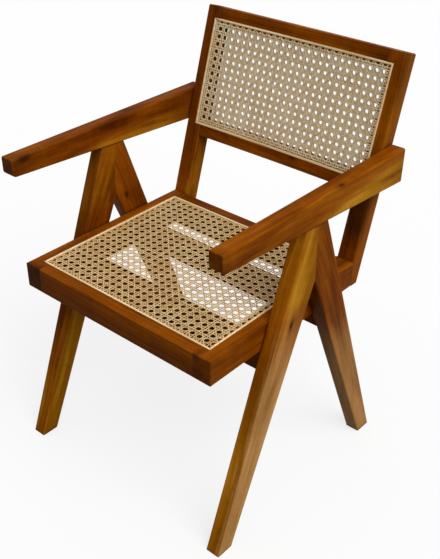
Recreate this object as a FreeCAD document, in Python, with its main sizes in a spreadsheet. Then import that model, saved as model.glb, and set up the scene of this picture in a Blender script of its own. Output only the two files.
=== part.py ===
"""Armchair of solid wood with a cane seat and a double cane back.

Two inverted V side frames carry a flat seat frame, level armrests and two leaning posts.
Lengths are in millimetres, +Z is up and -Y is the front. The origin is on the floor, at the
middle of the chair's box. Right is the +X side, on the viewer's right when facing the chair.

Each sub-part is drawn in one of three ways and then placed:
    side frames and cross rails from the floor, with y counted from the seat's front face;
    the seat with its top face at z = 0;
    the back lying flat, as on a bench, with its front face up at z = 0 and y up the posts.
"""
import FreeCAD, Part
import math
import os

import Sketcher

# Driving dimensions: alias and value
SIZES = [
    # seat frame
    ("seat_height", 425.0),
    ("seat_width", 464.0),
    ("seat_depth", 405.0),
    ("rail_height", 52.0),
    ("rail_thickness", 38.0),
    ("seat_border", 24.0),
    ("side_border", 22.0),
    # side frames
    ("leg_thickness", 30.0),
    ("foot_width", 38.0),
    ("front_foot_reach", 15.0),
    ("rear_foot_place", 475.0),
    ("leg_meet_place", 237.0),
    ("crotch_height", 476.0),
    ("front_leg_top", 28.0),
    ("rear_leg_top", 29.0),
    # cross rails under the seat
    ("cross_rail_height", 43.0),
    ("cross_rail_thickness", 38.0),
    ("front_cross_place", 128.0),
    ("rear_cross_place", 303.0),
    # armrests
    ("arm_reach", 3.0),
    ("arm_overhang", 23.0),
    ("arm_height", 636.0),
    ("arm_front_height", 35.0),
    ("arm_rear_height", 66.0),
    ("arm_end_rake", 3.0),
    ("arm_nose_radius", 9.0),
    # back
    ("chair_height", 800.0),
    ("back_lean", 17.1),
    ("back_start", 129.0),
    ("post_width", 36.0),
    ("post_depth", 33.0),
    ("back_rail_height", 35.0),
    ("back_border", 23.0),
    ("back_bow", 6.0),
    # cane panels and the beads that hold them
    ("cane_thickness", 1.6),
    ("cane_lip", 5.0),
    ("cane_pitch", 26.0),
    ("cane_strip", 10.0),
    ("cane_clearance", 0.3),
    ("bead_width", 4.4),
    ("bead_rise", 0.8),
    ("bead_edge_radius", 1.0),
    ("groove_depth", 6.5),
    # tenons and mortises
    ("tenon_length", 20.0),
    ("tenon_thickness", 12.0),
    ("tenon_shoulder", 10.0),
    ("loose_tenon_reach", 14.0),
    ("loose_tenon_thickness", 9.0),
    ("loose_tenon_width", 26.0),
    ("arm_tenon_width", 16.0),
    ("glue_gap", 0.6),
    # rounded edges
    ("edge_radius", 2.5),
    ("arm_edge_radius", 4.0),
    ("arm_end_radius", 3.0),
    ("back_edge_chamfer", 1.8),
    # how far every cut runs past the wood
    ("overrun", 5.0),
]

doc = FreeCAD.newDocument("armchair")
sheet = doc.addObject("Spreadsheet::Sheet", "sizes")
for row, (alias, number) in enumerate(SIZES, start=1):
    sheet.set("A%d" % row, alias)
    sheet.set("B%d" % row, str(number))
    sheet.setAlias("B%d" % row, alias)
doc.recompute()


class Size:
    """A length or angle that knows its value and the sheet formula that gives it."""

    def __init__(self, value, formula):
        self.value = value
        self.formula = formula

    def __add__(self, other):
        other = as_size(other)
        return Size(self.value + other.value, "(%s + %s)" % (self.formula, other.formula))

    def __sub__(self, other):
        other = as_size(other)
        return Size(self.value - other.value, "(%s - %s)" % (self.formula, other.formula))

    def __mul__(self, other):
        other = as_size(other)
        return Size(self.value * other.value, "(%s * %s)" % (self.formula, other.formula))

    def __truediv__(self, other):
        other = as_size(other)
        return Size(self.value / other.value, "(%s / %s)" % (self.formula, other.formula))

    def __neg__(self):
        return Size(-self.value, "(0 - %s)" % self.formula)


def as_size(number):
    return number if isinstance(number, Size) else Size(float(number), repr(float(number)))


def cell(alias):
    return Size(float(sheet.get(alias)), "sizes.%s" % alias)


def square_root(size):
    return Size(math.sqrt(size.value), "sqrt(%s)" % size.formula)


def sine(angle):
    return Size(math.sin(math.radians(angle.value)), "sin(%s)" % angle.formula)


def cosine(angle):
    return Size(math.cos(math.radians(angle.value)), "cos(%s)" % angle.formula)


ZERO = as_size(0)
RIGHT_ANGLE = as_size(90)
SIDES = (("left", -1), ("right", 1))
X, Y, Z = range(3)
TOLERANCE = 0.01
# The post's tenon lies this share of the side rail's thickness from its outer face
POST_TENON_SHARE = 0.25
# The mitre's tenon lies between these shares of the seam, from the crotch to the arm's tenons
MITRE_TENON_SHARES = (0.44, 0.71)

overrun = cell("overrun")
edge_radius = cell("edge_radius")
tenon_length = cell("tenon_length")
tenon_thickness = cell("tenon_thickness")
tenon_shoulder = cell("tenon_shoulder")
loose_reach = cell("loose_tenon_reach")
loose_half_thickness = cell("loose_tenon_thickness") / 2
loose_half_width = cell("loose_tenon_width") / 2
glue_gap = cell("glue_gap")

# The seat frame
seat_height = cell("seat_height")
seat_depth = cell("seat_depth")
half_width = cell("seat_width") / 2
rail_height = cell("rail_height")
rail_thickness = cell("rail_thickness")
rail_bottom = seat_height - rail_height
rail_inner = half_width - rail_thickness

# The groove that holds a cane panel: the bead outside, the panel's turned-down lip inside
cane_thickness = cell("cane_thickness")
cane_lip = cell("cane_lip")
bead_width = cell("bead_width")
groove_depth = cell("groove_depth")
groove_width = bead_width + cane_thickness
groove_outer = half_width - cell("side_border")
groove_inner = groove_outer - groove_width
seat_groove_front = cell("seat_border")
seat_groove_rear = seat_depth - cell("seat_border")
rebate_depth = cane_thickness + cell("cane_clearance")

# The back, bowed to the rear between the grooves in the posts
lean = cell("back_lean")
recline = RIGHT_ANGLE - lean
back_length = (cell("chair_height") - seat_height) / cosine(lean)
back_start = cell("back_start")
back_groove_low = back_start + cell("back_border")
back_groove_top = back_length - cell("back_border")
post_width = cell("post_width")
post_depth = cell("post_depth")
post_inner = half_width - post_width
bow = cell("back_bow")
bow_radius = (groove_outer * groove_outer + bow * bow) / (bow * 2)
bow_centre = bow_radius - bow
bow_at_post = square_root(bow_radius * bow_radius - post_inner * post_inner) - bow_centre

# The middle of the chair's box, between the front feet and the rounded top of the back
back_reach = seat_depth + back_length * sine(lean) + (post_depth + bow) * cosine(lean)
rounding_loss = edge_radius * (sine(lean) + cosine(lean) - 1)
middle = (back_reach - rounding_loss - cell("front_foot_reach")) / 2

# The side frames
leg_thickness = cell("leg_thickness")
leg_middle = half_width + leg_thickness / 2
meet_place = cell("leg_meet_place")
crotch_height = cell("crotch_height")
cross_height = cell("cross_rail_height")

# The armrests, which run past the middle of the posts
arm_top = cell("arm_height")
arm_post_height = arm_top - cell("arm_rear_height") / 2
arm_post_rise = (arm_post_height - seat_height) * sine(lean) / cosine(lean)
arm_post_place = seat_depth + arm_post_rise + post_depth / cosine(lean) / 2
arm_front = -cell("arm_reach")
arm_rear = arm_post_place + cell("arm_overhang")


def arm_underside(place):
    """The height of the armrest's sloping underside."""
    drop = cell("arm_rear_height") - cell("arm_front_height")
    slope = drop / (arm_rear - arm_front)
    return arm_top - cell("arm_front_height") - (place - arm_front) * slope


class Leg:
    """The two slanting edges of one leg of the inverted V."""

    def __init__(self, name, foot_outer, foot_inner, top_outer):
        self.name = name
        self.foot_outer = foot_outer
        self.foot_inner = foot_inner
        self.top_outer = top_outer

    def centre(self, height):
        """The middle of the leg at a height below the crotch."""
        outer_share = height / arm_underside(self.top_outer)
        outer = self.foot_outer + (self.top_outer - self.foot_outer) * outer_share
        inner = self.foot_inner + (meet_place - self.foot_inner) * (height / crotch_height)
        return (outer + inner) / 2

    def outline(self):
        return [
            (self.foot_outer, ZERO),
            (self.foot_inner, ZERO),
            (meet_place, crotch_height),
            (meet_place, arm_underside(meet_place)),
            (self.top_outer, arm_underside(self.top_outer)),
        ]


front_foot = -cell("front_foot_reach")
rear_foot = cell("rear_foot_place")
LEGS = [
    Leg("front", front_foot, front_foot + cell("foot_width"), meet_place - cell("front_leg_top")),
    Leg("rear", rear_foot, rear_foot - cell("foot_width"), meet_place + cell("rear_leg_top")),
]


def bind(item, name, size):
    """Set a property from the sheet."""
    item.setExpression(name, size.formula)


def new_body(label):
    body = doc.addObject("PartDesign::Body", label)
    body.Label = label
    return body


def new_sketch(body, label, role, offset=ZERO):
    """A sketch on one of the body's own origin planes, moved along its normal."""
    sketch = body.newObject("Sketcher::SketchObject", "%s_%s" % (body.Label, label))
    plane = [item for item in body.Origin.OriginFeatures if item.Role == role][0]
    sketch.AttachmentSupport = (plane, [""])
    sketch.MapMode = "FlatFace"
    bind(sketch, "AttachmentOffset.Base.z", offset)
    return sketch


def fix_distance(sketch, kind, line, end, size):
    """Tie one coordinate of a sketch point to the sheet."""
    rule = sketch.addConstraint(Sketcher.Constraint(kind, -1, 1, line, end, size.value))
    bind(sketch, "Constraints[%d]" % rule, size)


def draw_outline(sketch, points):
    """A closed outline of straight lines through the points."""
    corners = [FreeCAD.Vector(across.value, up.value, 0) for across, up in points]
    first = sketch.GeometryCount
    count = len(corners)
    for index in range(count):
        sketch.addGeometry(Part.LineSegment(corners[index], corners[(index + 1) % count]))
    for index, (across, up) in enumerate(points):
        line = first + index
        follower = first + (index + 1) % count
        sketch.addConstraint(Sketcher.Constraint("Coincident", line, 2, follower, 1))
        fix_distance(sketch, "DistanceX", line, 1, across)
        fix_distance(sketch, "DistanceY", line, 1, up)


def draw_rectangle(sketch, left, right, low, high):
    draw_outline(sketch, [(left, low), (right, low), (right, high), (left, high)])


def draw_bow(sketch, depth, edge):
    """The region between the bowed surface at a depth and a straight edge beyond it."""
    radius = bow_radius + depth
    reach = math.asin(half_width.value / radius.value)
    circle = Part.Circle(
        FreeCAD.Vector(0, bow_centre.value, 0), FreeCAD.Vector(0, 0, 1), radius.value
    )
    arc = Part.ArcOfCircle(circle, -math.pi / 2 - reach, -math.pi / 2 + reach)
    curve = sketch.addGeometry(arc)
    fix_distance(sketch, "DistanceX", curve, 3, ZERO)
    fix_distance(sketch, "DistanceY", curve, 3, bow_centre)
    rule = sketch.addConstraint(Sketcher.Constraint("Radius", curve, radius.value))
    bind(sketch, "Constraints[%d]" % rule, radius)
    fix_distance(sketch, "DistanceX", curve, 1, -half_width)
    fix_distance(sketch, "DistanceX", curve, 2, half_width)
    far_left = FreeCAD.Vector(-half_width.value, edge.value, 0)
    far_right = FreeCAD.Vector(half_width.value, edge.value, 0)
    ends = [arc.EndPoint, far_right, far_left, arc.StartPoint]
    lines = [
        sketch.addGeometry(Part.LineSegment(ends[index], ends[index + 1])) for index in range(3)
    ]
    right, across, left = lines
    for first, first_end, second, second_end in (
        (curve, 2, right, 1),
        (right, 2, across, 1),
        (across, 2, left, 1),
        (left, 2, curve, 1),
    ):
        rule = Sketcher.Constraint("Coincident", first, first_end, second, second_end)
        sketch.addConstraint(rule)
    for line, size in ((right, half_width), (across, -half_width)):
        fix_distance(sketch, "DistanceX", line, 2, size)
        fix_distance(sketch, "DistanceY", line, 2, edge)


def raise_pad(body, sketch, length):
    """Pad along the sketch plane's normal."""
    pad = body.newObject("PartDesign::Pad", sketch.Label + "_pad")
    pad.Profile = sketch
    bind(pad, "Length", length)
    body.Tip = pad
    doc.recompute()


def cut_pocket(body, sketch, depth, forward=False):
    """Pocket against the sketch plane's normal, or along it."""
    before = body.Shape.Volume
    pocket = body.newObject("PartDesign::Pocket", sketch.Label + "_pocket")
    pocket.Profile = sketch
    pocket.Reversed = forward
    bind(pocket, "Length", depth)
    body.Tip = pocket
    doc.recompute()
    if body.Shape.Volume >= before:
        raise ValueError("%s cuts nothing" % pocket.Label)


def soften_edges(body, kind, label, measure, size, chosen):
    """Round or chamfer those edges of the body that a test picks."""
    base = body.Tip
    picked = [
        "Edge%d" % number
        for number, edge in enumerate(base.Shape.Edges, start=1)
        if chosen(edge.BoundBox)
    ]
    feature = body.newObject(kind, "%s_%s" % (body.Label, label))
    feature.Base = (base, picked)
    bind(feature, measure, size)
    body.Tip = feature
    doc.recompute()


def round_edges(body, label, radius, chosen):
    soften_edges(body, "PartDesign::Fillet", label, "Radius", radius, chosen)


def chamfer_edges(body, label, size, chosen):
    soften_edges(body, "PartDesign::Chamfer", label, "Size", size, chosen)


def at_level(low, high, level):
    """Whether both limits of an edge's box lie at one level."""
    return abs(low - level) < TOLERANCE and abs(high - level) < TOLERANCE


def new_block(label, low, high):
    """A block between two corners."""
    block = doc.addObject("Part::Box", label)
    for side, axis, start, end in zip(("Length", "Width", "Height"), "xyz", low, high):
        bind(block, side, end - start)
        bind(block, "Placement.Base." + axis, start)
    return block


def cut_blocks(label, body, blocks):
    """The body less its mortises."""
    tool = doc.addObject("Part::Compound", label + "_mortises")
    tool.Links = blocks
    result = doc.addObject("Part::Cut", label)
    result.Label = label
    result.Base = body
    result.Tool = tool
    doc.recompute()
    return result


class LooseTenon:
    """A separate tenon, given by its centre, its half sizes and the axis that it runs along."""

    def __init__(self, centre, half, axis):
        self.centre = centre
        self.half = half
        self.axis = axis

    def block(self, label):
        low = [middle_size - half for middle_size, half in zip(self.centre, self.half)]
        high = [middle_size + half for middle_size, half in zip(self.centre, self.half)]
        return new_block(label, low, high)

    def mortise(self, label):
        """The tenon's block, longer by the glue gap at each end."""
        half = list(self.half)
        half[self.axis] = half[self.axis] + glue_gap
        return LooseTenon(self.centre, half, self.axis).block(label)


def side_tenon(sign, place, height):
    """A tenon across a side frame's inner face."""
    centre = (half_width * sign, place, height)
    return LooseTenon(centre, (loose_reach, loose_half_thickness, loose_half_width), X)


def seat_leg_tenon(sign, leg):
    height = seat_height - rail_height / 2
    return side_tenon(sign, leg.centre(height), height)


def arm_post_tenon(sign):
    return side_tenon(sign, arm_post_place, arm_post_height)


def seat_post_tenon(sign):
    across = (half_width - rail_thickness * POST_TENON_SHARE) * sign
    centre = (across, seat_depth, seat_height - rail_height / 2)
    return LooseTenon(centre, (loose_half_thickness, loose_reach, loose_half_width), Y)


def mitre_tenon(sign):
    seam = arm_underside(meet_place) - loose_reach - glue_gap - crotch_height
    low, high = [crotch_height + seam * share for share in MITRE_TENON_SHARES]
    centre = (leg_middle * sign, meet_place, (low + high) / 2)
    return LooseTenon(centre, (loose_half_thickness, loose_reach, (high - low) / 2), Y)


def arm_leg_tenon(sign, leg):
    place = (leg.top_outer + meet_place) / 2
    centre = (leg_middle * sign, place, arm_underside(place))
    half_wide = cell("arm_tenon_width") / 2
    return LooseTenon(centre, (loose_half_thickness, half_wide, loose_reach), Z)


nodes = []


def place_node(item, height=ZERO):
    """Bring a sub-part that is drawn from the seat's front face to its place."""
    bind(item, "Placement.Base.y", -middle)
    bind(item, "Placement.Base.z", height)
    nodes.append(item)


def place_in_back(item):
    """Raise a sub-part of the flat back to its lean behind the seat."""
    item.Placement = FreeCAD.Placement(
        FreeCAD.Vector(), FreeCAD.Rotation(FreeCAD.Vector(1, 0, 0), recline.value)
    )
    bind(item, "Placement.Rotation.Angle", recline)
    bind(item, "Placement.Base.y", seat_depth - middle)
    bind(item, "Placement.Base.z", seat_height)
    nodes.append(item)


def to_back(place, height):
    """A point of the upright chair in the flat back's y and z."""
    behind = place - seat_depth
    above = height - seat_height
    up_post = behind * sine(lean) + above * cosine(lean)
    outward = above * sine(lean) - behind * cosine(lean)
    return up_post, outward


def mortise_in_back(label, tenon):
    """An upright tenon's mortise, turned for a post that is drawn lying flat."""
    block = tenon.mortise(label)
    half = list(tenon.half)
    half[tenon.axis] = half[tenon.axis] + glue_gap
    corner = [centre - size for centre, size in zip(tenon.centre, half)]
    up_post, outward = to_back(corner[Y], corner[Z])
    block.Placement = FreeCAD.Placement(
        FreeCAD.Vector(), FreeCAD.Rotation(FreeCAD.Vector(-1, 0, 0), recline.value)
    )
    bind(block, "Placement.Rotation.Angle", recline)
    bind(block, "Placement.Base.y", up_post)
    bind(block, "Placement.Base.z", outward)
    return block


def cut_side_groove(body, label, sign, inner, low, high, face=ZERO, forward=False):
    """The groove and the rebate for a cane panel in a side member, round its corners."""
    depth = groove_depth
    groove = new_sketch(body, label + "_groove", "XY_Plane", face)
    edge = inner * sign
    near = groove_inner * sign
    far = groove_outer * sign
    draw_outline(groove, [
        (edge, low),
        (far, low),
        (far, high),
        (edge, high),
        (edge, high - groove_width),
        (near, high - groove_width),
        (near, low + groove_width),
        (edge, low + groove_width),
    ])
    cut_pocket(body, groove, depth, forward)
    rebate = new_sketch(body, label + "_rebate", "XY_Plane", face)
    sides = (edge, near) if sign > 0 else (near, edge)
    draw_rectangle(rebate, *sides, low + groove_width, high - groove_width)
    cut_pocket(body, rebate, rebate_depth + bow_at_post, forward)


def add_tenons(body, end, low, high, bottom, thickness):
    """A tenon on each end of a rail that lies along X."""
    sketch = new_sketch(body, "tenons", "XY_Plane", bottom)
    start = end - tenon_shoulder
    tip = end + tenon_length
    draw_rectangle(sketch, start, tip, low, high)
    draw_rectangle(sketch, -tip, -start, low, high)
    raise_pad(body, sketch, thickness)


def end_mortise(label, sign, end, low, high, bottom, top):
    """The mortise for one end of a rail's tenon, deeper by the glue gap."""
    tip = end + tenon_length + glue_gap
    left, right = (end, tip) if sign > 0 else (-tip, -end)
    return new_block(label, (left, low, bottom), (right, high, top))


def seat_rail_tenon(front):
    """The y and z limits of a seat rail's tenon."""
    low = front + (rail_thickness - tenon_thickness) / 2
    return low, low + tenon_thickness, tenon_shoulder - rail_height, -tenon_shoulder


def cross_rail_tenon(front):
    low = front + (cell("cross_rail_thickness") - tenon_thickness) / 2
    top = rail_bottom - tenon_shoulder
    return low, low + tenon_thickness, rail_bottom - cross_height + tenon_shoulder, top


def back_rail_tenon(low):
    bottom = -(post_depth + tenon_thickness) / 2
    high = low + cell("back_rail_height") - tenon_shoulder
    return low + tenon_shoulder, high, bottom, bottom + tenon_thickness


SEAT_RAILS = {"front": ZERO, "rear": seat_depth - rail_thickness}
CROSS_RAILS = {"front": cell("front_cross_place"), "rear": cell("rear_cross_place")}
BACK_RAILS = {"bottom": back_start, "top": back_length - cell("back_rail_height")}


def side_start(sign, inner, thickness):
    """Where a piece of the chair's left or right side starts along X."""
    return inner if sign > 0 else -(inner + thickness)


def seat_side_rail(side, sign):
    label = "seat_side_rail_" + side
    body = new_body(label + "_blank")
    outer = half_width * sign
    start = side_start(sign, rail_inner, rail_thickness)
    sketch = new_sketch(body, "plan", "XY_Plane", -rail_height)
    draw_rectangle(sketch, start, start + rail_thickness, ZERO, seat_depth)
    raise_pad(body, sketch, rail_height)
    cut_side_groove(body, "top", sign, rail_inner, seat_groove_front, seat_groove_rear)

    def outside(box):
        on_side = at_level(box.XMin, box.XMax, outer.value) and box.ZLength < TOLERANCE
        on_front = at_level(box.YMin, box.YMax, 0) and box.XLength > TOLERANCE
        return on_side or on_front

    round_edges(body, "rounding", edge_radius, outside)
    blocks = []
    for name, front in SEAT_RAILS.items():
        limits = seat_rail_tenon(front)
        blocks.append(end_mortise("%s_%s_rail" % (label, name), sign, rail_inner, *limits))
    for leg in LEGS:
        tenon = seat_leg_tenon(sign, leg)
        blocks.append(lowered(tenon).mortise("%s_%s_leg" % (label, leg.name)))
    blocks.append(lowered(seat_post_tenon(sign)).mortise(label + "_post"))
    place_node(cut_blocks(label, body, blocks), seat_height)


def lowered(tenon):
    """A tenon of the upright chair as the seat's pieces are drawn, from the seat's top."""
    across, place, height = tenon.centre
    return LooseTenon((across, place, height - seat_height), tenon.half, tenon.axis)


def seat_cross_rail(name, front):
    """The front or the rear rail of the seat."""
    body = new_body("seat_%s_rail" % name)
    sketch = new_sketch(body, "plan", "XY_Plane", -rail_height)
    draw_rectangle(sketch, -rail_inner, rail_inner, front, front + rail_thickness)
    raise_pad(body, sketch, rail_height)
    low, high, bottom, top = seat_rail_tenon(front)
    add_tenons(body, rail_inner, low, high, bottom, top - bottom)
    if name == "front":
        face = front
        groove_low = seat_groove_front
        rebate_low = groove_low + groove_width
        rebate_high = front + rail_thickness + overrun
    else:
        face = front + rail_thickness
        groove_low = seat_groove_rear - groove_width
        rebate_low = front - overrun
        rebate_high = groove_low
    groove = new_sketch(body, "groove", "XY_Plane")
    draw_rectangle(groove, -rail_inner, rail_inner, groove_low, groove_low + groove_width)
    cut_pocket(body, groove, groove_depth)
    rebate = new_sketch(body, "rebate", "XY_Plane")
    draw_rectangle(rebate, -rail_inner, rail_inner, rebate_low, rebate_high)
    cut_pocket(body, rebate, rebate_depth)

    def outside(box):
        return at_level(box.YMin, box.YMax, face.value) and box.XLength > TOLERANCE

    round_edges(body, "rounding", edge_radius, outside)
    place_node(body, seat_height)


def under_cross_rail(name, front):
    """A rail between the legs, under the seat frame."""
    body = new_body("%s_cross_rail" % name)
    thickness = cell("cross_rail_thickness")
    sketch = new_sketch(body, "plan", "XY_Plane", rail_bottom - cross_height)
    draw_rectangle(sketch, -half_width, half_width, front, front + thickness)
    raise_pad(body, sketch, cross_height)

    def long_edge(box):
        return box.XLength > half_width.value

    round_edges(body, "rounding", edge_radius, long_edge)
    low, high, bottom, top = cross_rail_tenon(front)
    add_tenons(body, half_width, low, high, bottom, top - bottom)
    place_node(body)


def side_leg(side, sign, leg):
    label = "%s_leg_%s" % (leg.name, side)
    body = new_body(label + "_blank")
    start = side_start(sign, half_width, leg_thickness)
    sketch = new_sketch(body, "side", "YZ_Plane", start)
    draw_outline(sketch, leg.outline())
    raise_pad(body, sketch, leg_thickness)

    def slanting(box):
        return box.XLength < TOLERANCE and box.YLength > cell("foot_width").value + TOLERANCE

    round_edges(body, "rounding", edge_radius, slanting)
    cross = cross_rail_tenon(CROSS_RAILS[leg.name])
    blocks = [
        end_mortise(label + "_cross", sign, half_width, *cross),
        seat_leg_tenon(sign, leg).mortise(label + "_seat"),
        mitre_tenon(sign).mortise(label + "_mitre"),
        arm_leg_tenon(sign, leg).mortise(label + "_arm"),
    ]
    place_node(cut_blocks(label, body, blocks))


def armrest(side, sign):
    label = "armrest_" + side
    body = new_body(label + "_blank")
    start = side_start(sign, half_width, leg_thickness)
    sketch = new_sketch(body, "side", "YZ_Plane", start)
    lower_rear = arm_rear - cell("arm_end_rake")
    draw_outline(sketch, [
        (arm_front, arm_underside(arm_front)),
        (lower_rear, arm_underside(lower_rear)),
        (arm_rear, arm_top),
        (arm_front, arm_top),
    ])
    raise_pad(body, sketch, leg_thickness)
    tall = arm_underside(arm_front).value

    def nose(box):
        return at_level(box.YMin, box.YMax, arm_front.value) and box.ZMax < tall + TOLERANCE

    def upper(box):
        return at_level(box.ZMin, box.ZMax, arm_top.value) and box.XLength < TOLERANCE

    def lower(box):
        return box.ZMax < tall + TOLERANCE and box.YLength > leg_thickness.value

    def ends(box):
        at_front = box.YMax < arm_front.value + TOLERANCE
        return at_front or box.YMin > lower_rear.value - TOLERANCE

    round_edges(body, "nose", cell("arm_nose_radius"), nose)
    round_edges(body, "upper_rounding", cell("arm_edge_radius"), upper)
    round_edges(body, "lower_rounding", edge_radius, lower)
    round_edges(body, "ends", cell("arm_end_radius"), ends)
    blocks = [arm_post_tenon(sign).mortise(label + "_post")]
    for leg in LEGS:
        blocks.append(arm_leg_tenon(sign, leg).mortise("%s_%s_leg" % (label, leg.name)))
    place_node(cut_blocks(label, body, blocks))


def back_post(side, sign):
    label = "back_post_" + side
    body = new_body(label + "_blank")
    sketch = new_sketch(body, "side", "YZ_Plane", side_start(sign, post_inner, post_width))
    foot_front = to_back(seat_depth, rail_bottom)
    foot_rear_up = foot_front[0] + (post_depth + foot_front[1]) * sine(lean) / cosine(lean)
    draw_outline(sketch, [
        (ZERO, ZERO),
        foot_front,
        (foot_rear_up, -post_depth),
        (back_length, -post_depth),
        (back_length, ZERO),
    ])
    raise_pad(body, sketch, post_width)
    limits = (post_inner, back_groove_low, back_groove_top)
    cut_side_groove(body, "front", sign, *limits)
    cut_side_groove(body, "rear", sign, *limits, -post_depth, True)
    outer = half_width.value * sign

    def long_edge(box):
        return at_level(box.XMin, box.XMax, outer) and box.YLength > back_start.value

    def top(box):
        inside = at_level(box.XMin, box.XMax, post_inner.value * sign)
        return box.YMin > back_length.value - TOLERANCE and not inside

    round_edges(body, "rounding", edge_radius, long_edge)
    chamfer_edges(body, "top", cell("back_edge_chamfer"), top)
    blocks = [
        mortise_in_back(label + "_seat", seat_post_tenon(sign)),
        mortise_in_back(label + "_arm", arm_post_tenon(sign)),
    ]
    for name, low in BACK_RAILS.items():
        limits = back_rail_tenon(low)
        blocks.append(end_mortise("%s_%s_rail" % (label, name), sign, post_inner, *limits))
    place_in_back(cut_blocks(label, body, blocks))


def cut_bow(body, label, start, end, depth, edge):
    """Cut away what lies between a bowed surface and a straight edge, from start to end."""
    sketch = new_sketch(body, label, "XZ_Plane", -start)
    draw_bow(sketch, depth, edge)
    cut_pocket(body, sketch, end - start)


def bow_faces(body, low, high, near, far):
    """Give a flat blank of the back its bowed front and rear faces."""
    start = low - overrun
    end = high + overrun
    cut_bow(body, "front_bow", start, end, near, overrun * 2)
    cut_bow(body, "rear_bow", start, end, far, -(far + bow + overrun * 2))


def back_rail(name, low):
    body = new_body("back_%s_rail" % name)
    high = low + cell("back_rail_height")
    sketch = new_sketch(body, "plan", "XY_Plane", -(post_depth + bow + overrun))
    draw_rectangle(sketch, -post_inner, post_inner, low, high)
    raise_pad(body, sketch, post_depth + bow + overrun * 2)
    bow_faces(body, low, high, ZERO, post_depth)
    tenon_low, tenon_high, bottom, top = back_rail_tenon(low)
    add_tenons(body, post_inner, tenon_low, tenon_high, bottom, top - bottom)
    if name == "top":
        face = high
        groove_low = back_groove_top - groove_width
        rebate_low = low - overrun
        rebate_high = groove_low
    else:
        face = low
        groove_low = back_groove_low
        rebate_low = groove_low + groove_width
        rebate_high = high + overrun
    groove_high = groove_low + groove_width
    behind = -(post_depth + bow + overrun)
    cut_bow(body, "front_groove", groove_low, groove_high, groove_depth, overrun)
    cut_bow(body, "rear_groove", groove_low, groove_high, post_depth - groove_depth, behind)
    cut_bow(body, "front_rebate", rebate_low, rebate_high, rebate_depth, overrun)
    cut_bow(body, "rear_rebate", rebate_low, rebate_high, post_depth - rebate_depth, behind)

    def outside(box):
        return at_level(box.YMin, box.YMax, face.value) and box.XLength > TOLERANCE

    chamfer_edges(body, "edges", cell("back_edge_chamfer"), outside)
    place_in_back(body)


def draw_bead(sketch, low, high):
    """The outline of a bead, a ring between two rectangles."""
    inner = groove_outer - bead_width
    draw_rectangle(sketch, -groove_outer, groove_outer, low, high)
    draw_rectangle(sketch, -inner, inner, low + bead_width, high - bead_width)


def seat_bead():
    """The ring that wedges the seat's cane in its groove."""
    body = new_body("seat_cane_bead")
    sketch = new_sketch(body, "ring", "XY_Plane", -cane_lip)
    draw_bead(sketch, seat_groove_front, seat_groove_rear)
    raise_pad(body, sketch, cane_lip + cell("bead_rise"))
    top = cell("bead_rise").value

    def crown(box):
        return at_level(box.ZMin, box.ZMax, top)

    round_edges(body, "crown", cell("bead_edge_radius"), crown)
    place_node(body, seat_height)


def back_bead(label, near, far):
    """A bead of the back, from its front surface to its rear surface."""
    body = new_body(label)
    sketch = new_sketch(body, "ring", "XY_Plane", -(far + bow + overrun))
    draw_bead(sketch, back_groove_low, back_groove_top)
    raise_pad(body, sketch, far - near + bow + overrun * 2)
    bow_faces(body, back_groove_low, back_groove_top, near, far)
    place_in_back(body)


def rectangle_wire(left, right, low, high, level):
    corners = [(left, low), (right, low), (right, high), (left, high), (left, low)]
    return Part.makePolygon([FreeCAD.Vector(across, up, level) for across, up in corners])


def net_prism(low, high, level, drop):
    """The cane's open weave as one holed face, carried down by a drop."""
    side = groove_inner.value + cane_thickness.value
    lip = cane_thickness.value
    width = groove_inner.value * 2
    length = high - low
    columns = int(width / cell("cane_pitch").value)
    rows = int(length / cell("cane_pitch").value)
    step_across = width / columns
    step_up = length / rows
    margin = cell("cane_strip").value / 2
    wires = [rectangle_wire(-side, side, low - lip, high + lip, level)]
    for column in range(columns):
        left = step_across * column - groove_inner.value
        for line in range(rows):
            bottom = low + step_up * line
            wires.append(rectangle_wire(
                left + margin,
                left + step_across - margin,
                bottom + margin,
                bottom + step_up - margin,
                level,
            ))
    face = Part.makeFace(wires, "Part::FaceMakerBullseye")
    return face.extrude(FreeCAD.Vector(0, 0, -drop))


def lip_prism(low, high, level, drop):
    """The cane's edge, turned into the groove, as a ring carried down by a drop."""
    lip = cane_thickness.value
    inner = groove_inner.value
    outer = inner + lip
    wires = [
        rectangle_wire(-outer, outer, low - lip, high + lip, level),
        rectangle_wire(-inner, inner, low, high, level),
    ]
    face = Part.makeFace(wires, "Part::FaceMakerBullseye")
    return face.extrude(FreeCAD.Vector(0, 0, -drop))


def bowed_slab(near, far):
    """The space between two bowed surfaces of the back."""
    arcs = []
    ends = []
    for depth in (near, far):
        radius = bow_radius.value + depth
        level = bow_centre.value - math.sqrt(radius ** 2 - half_width.value ** 2)
        left = FreeCAD.Vector(-half_width.value, 0, level)
        right = FreeCAD.Vector(half_width.value, 0, level)
        lowest = FreeCAD.Vector(0, 0, -bow.value - depth)
        arcs.append(Part.Arc(left, lowest, right).toShape())
        ends.append((left, right))
    sides = [Part.LineSegment(start, end).toShape() for start, end in zip(*ends)]
    outline = Part.Wire(Part.sortEdges(arcs + sides)[0])
    return Part.Face(outline).extrude(FreeCAD.Vector(0, back_length.value, 0))


def cane_feature(label, shape):
    """The net is one holed face, which sketches and primitives can't draw."""
    feature = doc.addObject("Part::Feature", label)
    feature.Label = label
    feature.Shape = shape
    return feature


def seat_cane():
    low = (seat_groove_front + groove_width).value
    high = (seat_groove_rear - groove_width).value
    net = net_prism(low, high, 0, cane_thickness.value)
    lip = lip_prism(low, high, 0, cane_lip.value)
    place_node(cane_feature("seat_cane", net.fuse(lip).removeSplitter()), seat_height)


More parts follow.
